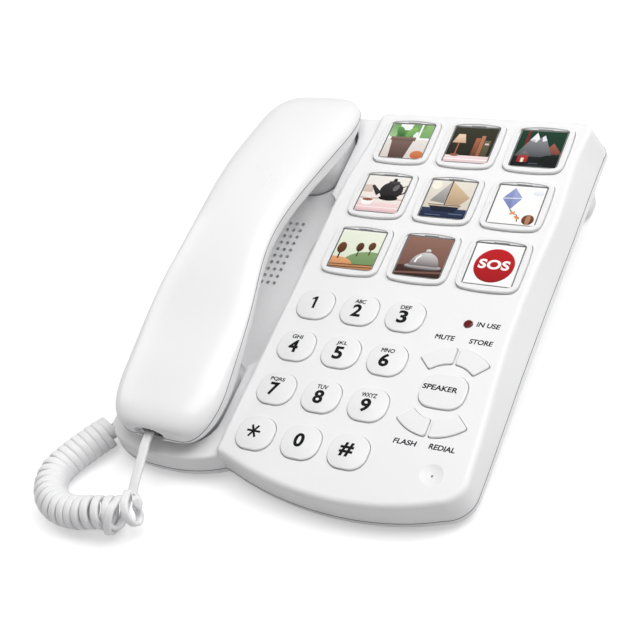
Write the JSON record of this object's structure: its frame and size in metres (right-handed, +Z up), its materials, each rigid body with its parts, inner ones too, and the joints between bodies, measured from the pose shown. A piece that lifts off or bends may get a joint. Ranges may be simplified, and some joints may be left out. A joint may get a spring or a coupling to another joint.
{
  "type": "corded telephone",
  "caption": "Corded desk telephone with large dial keys, picture keys, a ring of function keys, a handset in a side cradle and a coiled cord.",
  "frame": {"origin": "on the table under the middle of the telephone without its cord", "axes": "+X to the user's right, +Y away from the user, +Z up"},
  "size_m": [0.2036, 0.2547, 0.0649],
  "materials": {
    "white_housing": "satin",
    "white_handset": "satin",
    "white_keys": "satin",
    "picture_card": "gloss",
    "alarm_card": "gloss",
    "red_lamp": "gloss",
    "black_jack": "satin",
    "clear_plug": "clear",
    "white_cord": "satin",
    "grey_rubber": "matt",
    "membrane_rubber": "matt",
    "board_green": "gloss",
    "screw_steel": "brushed",
    "speaker_metal": "satin",
    "capsule_metal": "satin"
  },
  "bodies": {
    "base": {"upper_housing": "white_housing", "lower_housing": "white_housing", "desk_stand": "white_housing", "rubber_feet": "grey_rubber", "housing_screws": "screw_steel", "circuit_board": "board_green", "keypad_membrane": "membrane_rubber", "base_speaker": "speaker_metal", "base_microphone": "capsule_metal", "in_use_led": "red_lamp", "line_jack": "black_jack", "handset_jack_socket": "black_jack", "base_cord_plug": "clear_plug", "base_cord_lead": "white_cord", "handset_cord_coil": "white_cord", "handset_cord_lead": "white_cord"},
    "handset": {"handset_upper_shell": "white_handset", "handset_lower_shell": "white_handset", "handset_receiver": "speaker_metal", "handset_microphone": "capsule_metal", "handset_jack": "black_jack", "handset_screws": "screw_steel", "handset_cord_plug": "clear_plug"},
    "hook": {"hook_button": "white_housing"},
    "ringer": {"ringer_switch": "white_housing"},
    "dial_star": {"dial_key_star": "white_keys"},
    "dial_0": {"dial_key_0": "white_keys"},
    "dial_hash": {"dial_key_hash": "white_keys"},
    "dial_7": {"dial_key_7": "white_keys"},
    "dial_8": {"dial_key_8": "white_keys"},
    "dial_9": {"dial_key_9": "white_keys"},
    "dial_4": {"dial_key_4": "white_keys"},
    "dial_5": {"dial_key_5": "white_keys"},
    "dial_6": {"dial_key_6": "white_keys"},
    "dial_1": {"dial_key_1": "white_keys"},
    "dial_2": {"dial_key_2": "white_keys"},
    "dial_3": {"dial_key_3": "white_keys"},
    "photo_1": {"photo_key_1": "white_keys", "photo_window_1": "picture_card"},
    "photo_2": {"photo_key_2": "white_keys", "photo_window_2": "picture_card"},
    "photo_3": {"photo_key_3": "white_keys", "photo_window_3": "picture_card"},
    "photo_4": {"photo_key_4": "white_keys", "photo_window_4": "picture_card"},
    "photo_5": {"photo_key_5": "white_keys", "photo_window_5": "picture_card"},
    "photo_6": {"photo_key_6": "white_keys", "photo_window_6": "picture_card"},
    "photo_7": {"photo_key_7": "white_keys", "photo_window_7": "picture_card"},
    "photo_8": {"photo_key_8": "white_keys", "photo_window_8": "picture_card"},
    "photo_9": {"photo_key_9": "white_keys", "photo_window_9": "alarm_card"},
    "speaker": {"speaker_key": "white_keys"},
    "mute": {"mute_key": "white_keys"},
    "store": {"store_key": "white_keys"},
    "flash": {"flash_key": "white_keys"},
    "redial": {"redial_key": "white_keys"}
  },
  "joints": [
    {"name": "handset_lift", "type": "slide", "parent": "base", "child": "handset", "axis": [0, -0.1564, 0.9877], "range_m": [0, 0.08], "deforming": ["handset_cord_lead", "handset_cord_coil"]},
    {"name": "hook_rise", "type": "slide", "parent": "base", "child": "hook", "axis": [0, -0.1564, 0.9877], "range_m": [0, 0.002]},
    {"name": "ringer_slide", "type": "slide", "parent": "base", "child": "ringer", "axis": [1, 0, 0], "range_m": [0, 0.004]},
    {"name": "dial_star_press", "type": "slide", "parent": "base", "child": "dial_star", "axis": [0, 0.1564, -0.9877], "range_m": [0, 0.0012], "stiffness_N_per_m": 400},
    {"name": "dial_0_press", "type": "slide", "parent": "base", "child": "dial_0", "axis": [0, 0.1564, -0.9877], "range_m": [0, 0.0012], "stiffness_N_per_m": 400},
    {"name": "dial_hash_press", "type": "slide", "parent": "base", "child": "dial_hash", "axis": [0, 0.1564, -0.9877], "range_m": [0, 0.0012], "stiffness_N_per_m": 400},
    {"name": "dial_7_press", "type": "slide", "parent": "base", "child": "dial_7", "axis": [0, 0.1564, -0.9877], "range_m": [0, 0.0012], "stiffness_N_per_m": 400},
    {"name": "dial_8_press", "type": "slide", "parent": "base", "child": "dial_8", "axis": [0, 0.1564, -0.9877], "range_m": [0, 0.0012], "stiffness_N_per_m": 400},
    {"name": "dial_9_press", "type": "slide", "parent": "base", "child": "dial_9", "axis": [0, 0.1564, -0.9877], "range_m": [0, 0.0012], "stiffness_N_per_m": 400},
    {"name": "dial_4_press", "type": "slide", "parent": "base", "child": "dial_4", "axis": [0, 0.1564, -0.9877], "range_m": [0, 0.0012], "stiffness_N_per_m": 400},
    {"name": "dial_5_press", "type": "slide", "parent": "base", "child": "dial_5", "axis": [0, 0.1564, -0.9877], "range_m": [0, 0.0012], "stiffness_N_per_m": 400},
    {"name": "dial_6_press", "type": "slide", "parent": "base", "child": "dial_6", "axis": [0, 0.1564, -0.9877], "range_m": [0, 0.0012], "stiffness_N_per_m": 400},
    {"name": "dial_1_press", "type": "slide", "parent": "base", "child": "dial_1", "axis": [0, 0.1564, -0.9877], "range_m": [0, 0.0012], "stiffness_N_per_m": 400},
    {"name": "dial_2_press", "type": "slide", "parent": "base", "child": "dial_2", "axis": [0, 0.1564, -0.9877], "range_m": [0, 0.0012], "stiffness_N_per_m": 400},
    {"name": "dial_3_press", "type": "slide", "parent": "base", "child": "dial_3", "axis": [0, 0.1564, -0.9877], "range_m": [0, 0.0012], "stiffness_N_per_m": 400},
    {"name": "photo_1_press", "type": "slide", "parent": "base", "child": "photo_1", "axis": [0, 0.1564, -0.9877], "range_m": [0, 0.0012], "stiffness_N_per_m": 400},
    {"name": "photo_2_press", "type": "slide", "parent": "base", "child": "photo_2", "axis": [0, 0.1564, -0.9877], "range_m": [0, 0.0012], "stiffness_N_per_m": 400},
    {"name": "photo_3_press", "type": "slide", "parent": "base", "child": "photo_3", "axis": [0, 0.1564, -0.9877], "range_m": [0, 0.0012], "stiffness_N_per_m": 400},
    {"name": "photo_4_press", "type": "slide", "parent": "base", "child": "photo_4", "axis": [0, 0.1564, -0.9877], "range_m": [0, 0.0012], "stiffness_N_per_m": 400},
    {"name": "photo_5_press", "type": "slide", "parent": "base", "child": "photo_5", "axis": [0, 0.1564, -0.9877], "range_m": [0, 0.0012], "stiffness_N_per_m": 400},
    {"name": "photo_6_press", "type": "slide", "parent": "base", "child": "photo_6", "axis": [0, 0.1564, -0.9877], "range_m": [0, 0.0012], "stiffness_N_per_m": 400},
    {"name": "photo_7_press", "type": "slide", "parent": "base", "child": "photo_7", "axis": [0, 0.1564, -0.9877], "range_m": [0, 0.0012], "stiffness_N_per_m": 400},
    {"name": "photo_8_press", "type": "slide", "parent": "base", "child": "photo_8", "axis": [0, 0.1564, -0.9877], "range_m": [0, 0.0012], "stiffness_N_per_m": 400},
    {"name": "photo_9_press", "type": "slide", "parent": "base", "child": "photo_9", "axis": [0, 0.1564, -0.9877], "range_m": [0, 0.0012], "stiffness_N_per_m": 400},
    {"name": "speaker_press", "type": "slide", "parent": "base", "child": "speaker", "axis": [0, 0.1564, -0.9877], "range_m": [0, 0.0012], "stiffness_N_per_m": 400},
    {"name": "mute_press", "type": "slide", "parent": "base", "child": "mute", "axis": [0, 0.1564, -0.9877], "range_m": [0, 0.0012], "stiffness_N_per_m": 400},
    {"name": "store_press", "type": "slide", "parent": "base", "child": "store", "axis": [0, 0.1564, -0.9877], "range_m": [0, 0.0012], "stiffness_N_per_m": 400},
    {"name": "flash_press", "type": "slide", "parent": "base", "child": "flash", "axis": [0, 0.1564, -0.9877], "range_m": [0, 0.0012], "stiffness_N_per_m": 400},
    {"name": "redial_press", "type": "slide", "parent": "base", "child": "redial", "axis": [0, 0.1564, -0.9877], "range_m": [0, 0.0012], "stiffness_N_per_m": 400}
  ],
  "couplings": [
    {"joint": "hook_rise", "follows": "handset_lift", "ratio": 0.025}
  ]
}
